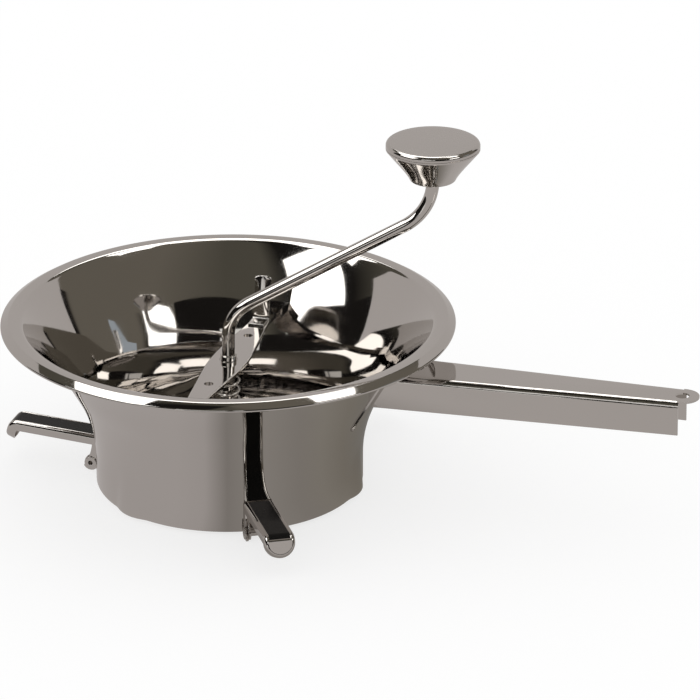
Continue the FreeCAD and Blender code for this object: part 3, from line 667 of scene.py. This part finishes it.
def make_knob_cap():
    bm = bmesh.new()
    edge_top = KNOB_TOP - CAP_CROWN
    first = path_start(bm, 0, KNOB_CAP_LOW)
    vert = path_line(bm, first, KNOB_RADIUS - CAP_CHAMFER, KNOB_CAP_LOW)
    vert = path_line(bm, vert, KNOB_RADIUS, KNOB_CAP_LOW + CAP_CHAMFER)
    vert = path_line(bm, vert, KNOB_RADIUS, edge_top - KNOB_EDGE)
    vert = path_arc(bm, vert, KNOB_RADIUS - KNOB_EDGE, edge_top - KNOB_EDGE,
                    CAP_EDGE_TURN, 10)
    flat = vert.co.x
    for step in range(1, CAP_STEPS + 1):
        radius = flat * (1 - step / CAP_STEPS)
        vert = path_line(bm, vert, radius, edge_top + CAP_CROWN * (1 - (radius / flat) ** 2))
    spin_round(bm, 96)
    onto_stem(bm)
    close_up(bm, 1e-5)
    sharpen(bm, 30)
    make_piece("knob_top", bm, "knob", "knob_metal", "knob_cap")


def make_tab():
    """The finger tab: a foot on the bar, a bend and a leaning, slightly bowed upright."""
    bm = bmesh.new()
    lean = Vector((math.sin(TAB_LEAN), math.cos(TAB_LEAN)))
    outward = Vector((lean.y, -lean.x))
    bend_at = TAB_AT - TAB_BEND
    length = (TAB_TOP - BAR_TOP - TAB_BEND) / lean.y
    ends = []
    for depth in (0.0, TAB_SHEET):
        root = (Vector((bend_at, BAR_TOP + TAB_BEND)) + (TAB_BEND - depth) * outward)
        first = path_start(bm, bend_at - TAB_FOOT, BAR_TOP + depth)
        vert = path_line(bm, first, bend_at, BAR_TOP + depth, 3)
        vert = path_arc(bm, vert, bend_at, BAR_TOP + TAB_BEND, QUARTER_TURN - TAB_LEAN, 6)
        vert = path_line(bm, vert, *(root + length * lean), 23)
        ends.append((first, vert))
    for low, high in zip(*ends):
        bm.edges.new((low, high))
    bmesh.ops.translate(bm, vec=(0, -TAB_WIDTH / 2, 0), verts=bm.verts)
    bmesh.ops.spin(bm, geom=wires(bm), axis=(0, 0, 1), angle=0, steps=TAB_STRIPS,
                   dvec=(0, TAB_WIDTH / TAB_STRIPS, 0))
    fill_open_ends(bm)
    root = Vector((bend_at, 0, BAR_TOP + TAB_BEND))
    for vert in bm.verts:
        up = (vert.co - root).dot(Vector((lean.x, 0, lean.y)))
        if up <= 0:
            continue
        across = vert.co.y / (TAB_WIDTH / 2)
        rounding = max(0.0, up - (length - TAB_WIDTH / 2)) / (TAB_WIDTH / 2)
        vert.co.y *= max(TAB_END_LEAST, 1 - rounding ** TAB_END_POWER[0]) ** TAB_END_POWER[1]
        bow = TAB_BOW * min(1.0, up / TAB_WIDTH) * (1 - across ** 2)
        vert.co -= bow * Vector((outward.x, 0, outward.y))
    turn_about_z(bm, QUARTER_TURN)
    close_up(bm)
    sharpen(bm)
    piece = make_piece("finger_tab", bm, "root", "bar_steel", "release_tab")
    round_edges(piece, TAB_EDGE, degrees=50)


make_bowl()
make_disc()
make_blade()
make_spring()
make_crank()
make_knob()
make_knob_cap()
make_tab()


# ---------------------------------------------------------------- pressed and turned pieces

EDGES = {                              # family of nodes: finish, width of rounded edges in mm
    "side_handle": ("handle_steel", 0.30),
    "crossbar": ("bar_steel", 0.45),
    "tab_rivet": ("rivet_steel", 0.20),
    "lug_rear": ("bar_steel", 0.30),
    "lug_front": ("bar_steel", 0.30),
    "crossbar_bush": ("bush_steel", 0.30),
    "spring_seat": ("bush_steel", 0.30),
    "crank_collar": ("rod_steel", 0.50),
    "blade_hub": ("blade_steel", 0.50),
    "hub_pin": ("rivet_steel", 0.30),
    "knob_clip": ("rivet_steel", 0.20),
    "foot": ("foot_steel", 0.35),
    "foot_pin": ("rivet_steel", 0.25),
    "foot_bracket": ("foot_steel", 0.30),
}


def narrow_ears(bm):
    """Draws the ears' outer edges in to a curved neck; the foot lies along +X."""
    corner = [vert for vert in bm.verts
              if math.hypot(vert.co.x - EAR_CORNER[0], vert.co.z - EAR_CORNER[1]) < EAR_FIND]
    slopes = [edge for edge in bm.edges for vert in corner
              if vert in edge.verts and edge.other_vert(vert).co.z < EAR_CORNER[1] - EAR_DROP]
    for vert in corner:
        vert.co += EAR_SLIDE
    made = bmesh.ops.subdivide_edges(bm, edges=slopes, cuts=EAR_STEPS, use_grid_fill=True)
    high = EAR_CORNER[1] + EAR_SLIDE.z
    inner = verts_in(made["geom_inner"])
    lowest = min(vert.co.z for vert in inner)
    low = lowest - (high - lowest) / EAR_STEPS
    for vert in inner:
        share = (vert.co.z - low) / (high - low)
        vert.co.x -= EAR_SAG * 4 * share * (1 - share)


def inlay_top(bm):
    """Sinks a black inlay into the arm's level top and the first part of its bend."""
    top = [face for face in bm.faces
           if face.normal.z > INLAY_RISE and face.normal.x > INLAY_OUT
           and all(abs(vert.co.y) < FOOT_FLAT and vert.co.z > INLAY_LOW for vert in face.verts)]
    bmesh.ops.inset_region(bm, faces=top, thickness=FOOT_BORDER, depth=-FOOT_INLAY,
                           use_even_offset=True)
    for face in top:
        face.material_index = 1


def dress_foot(bm, azimuth):
    turn = Matrix.Rotation(math.radians(azimuth), 3, "Z")
    bmesh.ops.rotate(bm, cent=(0, 0, 0), verts=bm.verts, matrix=turn.inverted())
    narrow_ears(bm)
    inlay_top(bm)
    bmesh.ops.rotate(bm, cent=(0, 0, 0), verts=bm.verts, matrix=turn)


for node in frame["nodes"]:
    family = node.rstrip("_0123456789")
    if family not in EDGES:
        continue
    slot_name, width = EDGES[family]
    bm = node_copy(node)
    if family == "foot":
        dress_foot(bm, FOOT_AZIMUTHS[node])
    sharpen(bm)
    pressed = make_piece(node + "_piece", bm, frame["nodes"][node]["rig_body"], slot_name, node)
    if family == "foot":
        pressed.data.materials.append(black_coat)
    round_edges(pressed, width * MM)


# ---------------------------------------------------------------- stage

PICTURE_TURN = math.radians(16.5)      # of the camera's heading about Z
FILL = 0.9                             # of the world's even light
STAGE_SEGMENTS = 96
FLOOR_Z = cad_box[0].z
FLOOR_RADIUS = 6.0
FLOOR_SHADE = 0.30
ROOM_RADIUS = 3.4
ROOM_LOW = -0.01
ROOM_SPLIT = ROOM_RADIUS / 2           # height where the room's two belts meet
BACKDROP_AT = 1.6
BACKDROP_HEIGHT = 0.80 * BACKDROP_AT
BACKDROP_LEFT = -70.0                  # azimuths of its ends, degrees
BACKDROP_RIGHT = 52.0
CARD_AT = 1.6                          # the usual distance of a card
CARD_AIM = 0.05                        # height that the tilted cards face
PAPER_DROP = 0.002                     # how far the papers lie under the floor
NEAR_DROP = 0.001
NEAR_FADE = 0.115                      # from here the painted shadow round the mill's foot fades out
NEAR_END = 0.21
PAPER = (0.56, 0.53, 0.515)
OLIVE = (0.17, 0.154, 0.128)
DIM = (0.10, 0.093, 0.075)
NIGHT = (0.012, 0.011, 0.010)


def studio(x, y, z):
    """A point given as seen from the camera: x to its right, y away from it."""
    return Matrix.Rotation(PICTURE_TURN, 4, "Z") @ Vector((x, y, z))


def emitter(name, colour, strength=1.0):
    material, nodes, links = new_material(name)
    nodes.clear()
    glow = nodes.new("ShaderNodeEmission")
    glow.inputs["Color"].default_value = (*colour, 1)
    glow.inputs["Strength"].default_value = strength
    out = nodes.new("ShaderNodeOutputMaterial")
    links.new(glow.outputs["Emission"], out.inputs["Surface"])
    return material


def stage_piece(name, bm, material):
    piece = new_object(name, bm, material)
    return piece


def reflection_only(piece):
    piece.visible_camera = False
    piece.visible_diffuse = False
    piece.visible_shadow = False
    piece.visible_transmission = False


def direction(azimuth, elevation, distance=CARD_AT):
    """A place by its azimuth to the right of straight behind the mill, and its elevation."""
    a, e = math.radians(azimuth), math.radians(elevation)
    return (distance * math.sin(a) * math.cos(e), distance * math.cos(a) * math.cos(e),
            distance * math.sin(e))


def card(name, centre, width, height, material, upright=False):
    """A flat studio card that faces the mill and shows only in reflections."""
    bm = bmesh.new()
    bmesh.ops.create_grid(bm, x_segments=1, y_segments=1, size=0.5)
    bmesh.ops.scale(bm, vec=(width, height, 1), verts=bm.verts)
    place = studio(*centre)
    aim = Vector((0, 0, place.z if upright else CARD_AIM))
    turn = (aim - place).to_track_quat("Z", "Y").to_matrix().to_4x4()
    bmesh.ops.transform(bm, matrix=Matrix.Translation(place) @ turn, verts=bm.verts)
    reflection_only(stage_piece(name, bm, material))


def bearing_emitter(name, stops):
    """Plain colours that change with the bearing round Z; stops are (azimuth, colour)."""
    material = emitter(name, (1, 1, 1))
    nodes, links = material.node_tree.nodes, material.node_tree.links
    place = nodes.new("ShaderNodeTexCoord")
    turn = nodes.new("ShaderNodeMapping")
    # The gradient runs from -180 to 180 degrees anticlockwise of its own X axis.
    turn.inputs["Rotation"].default_value = (0, 0, -PICTURE_TURN - QUARTER_TURN)
    round_z = nodes.new("ShaderNodeTexGradient")
    round_z.gradient_type = "RADIAL"
    ramp = nodes.new("ShaderNodeValToRGB")
    links.new(place.outputs["Object"], turn.inputs["Vector"])
    links.new(turn.outputs["Vector"], round_z.inputs["Vector"])
    links.new(round_z.outputs["Fac"], ramp.inputs["Fac"])
    links.new(ramp.outputs["Color"], nodes["Emission"].inputs["Color"])
    marks = sorted(((0.5 - azimuth / 360) % 1.0001, colour) for azimuth, colour in stops)
    while len(ramp.color_ramp.elements) < len(marks):
        ramp.color_ramp.elements.new(0.5)
    for element, (position, colour) in zip(ramp.color_ramp.elements, marks):
        element.position = position
        element.color = (*colour, 1)
    return material


def fade_outwards(material, start, end, colour):
    """Lets a bearing emitter run into one colour with the distance from the middle."""
    nodes, links = material.node_tree.nodes, material.node_tree.links
    far = nodes.new("ShaderNodeVectorMath")
    far.operation = "LENGTH"
    share = nodes.new("ShaderNodeMapRange")
    share.interpolation_type = "SMOOTHSTEP"
    share.inputs["From Min"].default_value = start
    share.inputs["From Max"].default_value = end
    blend = nodes.new("ShaderNodeMix")
    blend.data_type = "RGBA"
    blend.inputs["B"].default_value = (*colour, 1)
    links.new(nodes["Texture Coordinate"].outputs["Object"], far.inputs[0])
    links.new(far.outputs["Value"], share.inputs["Value"])
    links.new(share.outputs["Result"], blend.inputs["Factor"])
    links.new(nodes["Color Ramp"].outputs["Color"], blend.inputs["A"])
    links.new(blend.outputs["Result"], nodes["Emission"].inputs["Color"])
    return material


def make_floor():
    """A white floor: plain diffuse for the mill's shadow, topped up to white for the camera."""
    material, nodes, links = new_material("floor_white")
    shader = nodes["Principled BSDF"]
    shader.inputs["Base Color"].default_value = (FLOOR_SHADE, FLOOR_SHADE, FLOOR_SHADE, 1)
    shader.inputs["Roughness"].default_value = 1.0
    shader.inputs["Specular IOR Level"].default_value = 0.0
    shader.inputs["Emission Color"].default_value = (1, 1, 1, 1)
    ray = nodes.new("ShaderNodeLightPath")
    top_up = nodes.new("ShaderNodeMath")
    top_up.operation = "MULTIPLY"
    top_up.inputs[1].default_value = 1.0 - FLOOR_SHADE * FILL
    links.new(ray.outputs["Is Camera Ray"], top_up.inputs[0])
    links.new(top_up.outputs[0], shader.inputs["Emission Strength"])
    bm = bmesh.new()
    bmesh.ops.create_circle(bm, cap_ends=True, segments=STAGE_SEGMENTS, radius=FLOOR_RADIUS)
    bmesh.ops.translate(bm, vec=(0, 0, FLOOR_Z), verts=bm.verts)
    stage_piece("floor", bm, material).visible_glossy = False


def make_paper(name, radius, drop, material):
    """The paper under the mill, as its reflections show it."""
    bm = bmesh.new()
    bmesh.ops.create_circle(bm, cap_ends=True, segments=STAGE_SEGMENTS, radius=radius)
    bmesh.ops.translate(bm, vec=(0, 0, FLOOR_Z - drop), verts=bm.verts)
    reflection_only(stage_piece(name, bm, material))


def make_room(name, low, high, material):
    """A belt of the dim room over the set, between two heights, seen only in reflections."""
    bm = bmesh.new()
    bmesh.ops.create_uvsphere(bm, u_segments=STAGE_SEGMENTS, v_segments=STAGE_SEGMENTS // 2,
                              radius=ROOM_RADIUS)
    for height, side in ((low, -1), (high, 1)):
        bmesh.ops.bisect_plane(bm, geom=wires(bm) + list(bm.faces),
                               plane_co=(0, 0, height), plane_no=(0, 0, side),
                               clear_outer=True)
    reflection_only(stage_piece(name, bm, material))


def make_backdrop(material):
    """The grey sheet that curves round behind the mill."""
    bm = bmesh.new()
    start = path_start(bm, BACKDROP_AT, FLOOR_Z)
    path_line(bm, start, BACKDROP_AT, BACKDROP_HEIGHT)
    bmesh.ops.spin(bm, geom=wires(bm), cent=(0, 0, 0), axis=(0, 0, 1),
                   angle=math.radians(BACKDROP_RIGHT - BACKDROP_LEFT), steps=60)
    turn_about_z(bm, PICTURE_TURN + QUARTER_TURN - math.radians(BACKDROP_RIGHT))
    reflection_only(stage_piece("backdrop", bm, material))


make_floor()
make_paper("paper", ROOM_RADIUS, PAPER_DROP, emitter("paper_grey", PAPER))
# Painted shadow: the paper round the mill's foot is an emitter, darker on the bearings where the
# mill's shadow and the dimmer light fall, seen only in reflections, and it fades out to plain
# paper.
paper_painted_shadow = bearing_emitter("paper_painted_shadow", (
    (-150, (0.53, 0.50, 0.49)), (-167, (0.50, 0.47, 0.46)), (-179.9, (0.30, 0.28, 0.265)),
    (179.9, (0.30, 0.28, 0.265)), (165, (0.36, 0.34, 0.32)),
    (137, (0.30, 0.28, 0.26)), (119, (0.30, 0.28, 0.25)), (98, (0.25, 0.23, 0.20)),
    (60, (0.20, 0.19, 0.175)), (20, (0.30, 0.28, 0.27)), (-20, (0.50, 0.47, 0.46)),
    (-100, (0.53, 0.50, 0.49))))
make_paper("paper_near", NEAR_END, NEAR_DROP,
           fade_outwards(paper_painted_shadow, NEAR_FADE, NEAR_END, PAPER))
make_room("room_low", ROOM_LOW, ROOM_SPLIT, bearing_emitter("room_night", (
    (-176, NIGHT), (56, NIGHT), (58, OLIVE), (106, OLIVE), (112, NIGHT), (176, NIGHT))))
make_room("room_high", ROOM_SPLIT, 2 * ROOM_RADIUS, bearing_emitter("room_dim", (
    (-176, DIM), (-150, DIM), (-135, NIGHT), (-85, NIGHT), (-60, DIM), (20, DIM),
    (50, OLIVE), (120, OLIVE), (176, DIM))))
make_backdrop(emitter("backdrop_grey", PAPER))
white = emitter("softbox_white", (1.0, 0.99, 0.97), 3.0)
pale = emitter("card_pale", (0.96, 0.95, 0.93))
blue = emitter("window_blue", (0.42, 0.47, 0.52))
card("softbox_left", direction(-111, 52.0, 1.80), 0.87, 1.34, white, upright=True)
card("softbox_over", direction(-55, 63), 1.0, 0.62, white)
card("softbox_back", direction(0, 57), 0.50, 1.0, white)
card("softbox_right", direction(123, 30.9), 0.58, 0.42, white, upright=True)
card("softbox_right_over", direction(58, 66), 0.80, 0.33, white)
card("card_front", direction(-168, 28), 0.62, 0.50, pale)
card("strip_front", direction(174, 28), 0.12, 0.50, pale)
card("card_low", direction(-150, 5), 0.60, 0.22, pale)
card("card_foot", (0.068, -0.196, 0.052), 0.07, 0.05, emitter("card_grey", PAPER))
card("window", direction(92, 21, 2.2), 0.62, 0.28, blue)
card("doorway", direction(168, 24.2, 2.19), 2.45, 1.80, emitter("doorway_dark", NIGHT),
     upright=True)


# ---------------------------------------------------------------- light and camera

CAMERA_PLACE = (65.5 * MM, -2388.8 * MM, 1086.5 * MM)
CAMERA_PITCH = math.radians(22.95)     # below level
FOCAL_PIXELS = 4809.0
IMAGE_PIXELS = 700.0
SENSOR = 36.0


def make_world():
    """Even white light, a little brighter where a camera, mirror or glass ray meets it."""
    world = bpy.data.worlds.new("studio")
    world.use_nodes = True
    bpy.context.scene.world = world
    nodes, links = world.node_tree.nodes, world.node_tree.links
    light = nodes["Background"]
    seen = nodes.new("ShaderNodeBackground")
    for background, strength in ((light, FILL), (seen, 1.0)):
        background.inputs["Color"].default_value = (1, 1, 1, 1)
        background.inputs["Strength"].default_value = strength
    ray = nodes.new("ShaderNodeLightPath")
    is_seen = ray.outputs["Is Camera Ray"]
    for kind in ("Is Glossy Ray", "Is Transmission Ray"):
        total = nodes.new("ShaderNodeMath")
        total.operation = "ADD"
        total.use_clamp = True
        links.new(is_seen, total.inputs[0])
        links.new(ray.outputs[kind], total.inputs[1])
        is_seen = total.outputs[0]
    choice = nodes.new("ShaderNodeMixShader")
    links.new(is_seen, choice.inputs["Fac"])
    links.new(light.outputs[0], choice.inputs[1])
    links.new(seen.outputs[0], choice.inputs[2])
    links.new(choice.outputs[0], nodes["World Output"].inputs["Surface"])


def make_camera():
    lens = bpy.data.cameras.new("camera")
    camera = bpy.data.objects.new("camera", lens)
    bpy.context.scene.collection.objects.link(camera)
    lens.sensor_width = SENSOR
    lens.lens = FOCAL_PIXELS / IMAGE_PIXELS * SENSOR
    lens.clip_end = 100
    camera.location = studio(*CAMERA_PLACE)
    camera.rotation_euler = (QUARTER_TURN - CAMERA_PITCH, 0, PICTURE_TURN)
    bpy.context.scene.camera = camera


make_world()
make_camera()
bpy.context.scene.view_settings.view_transform = "Standard"
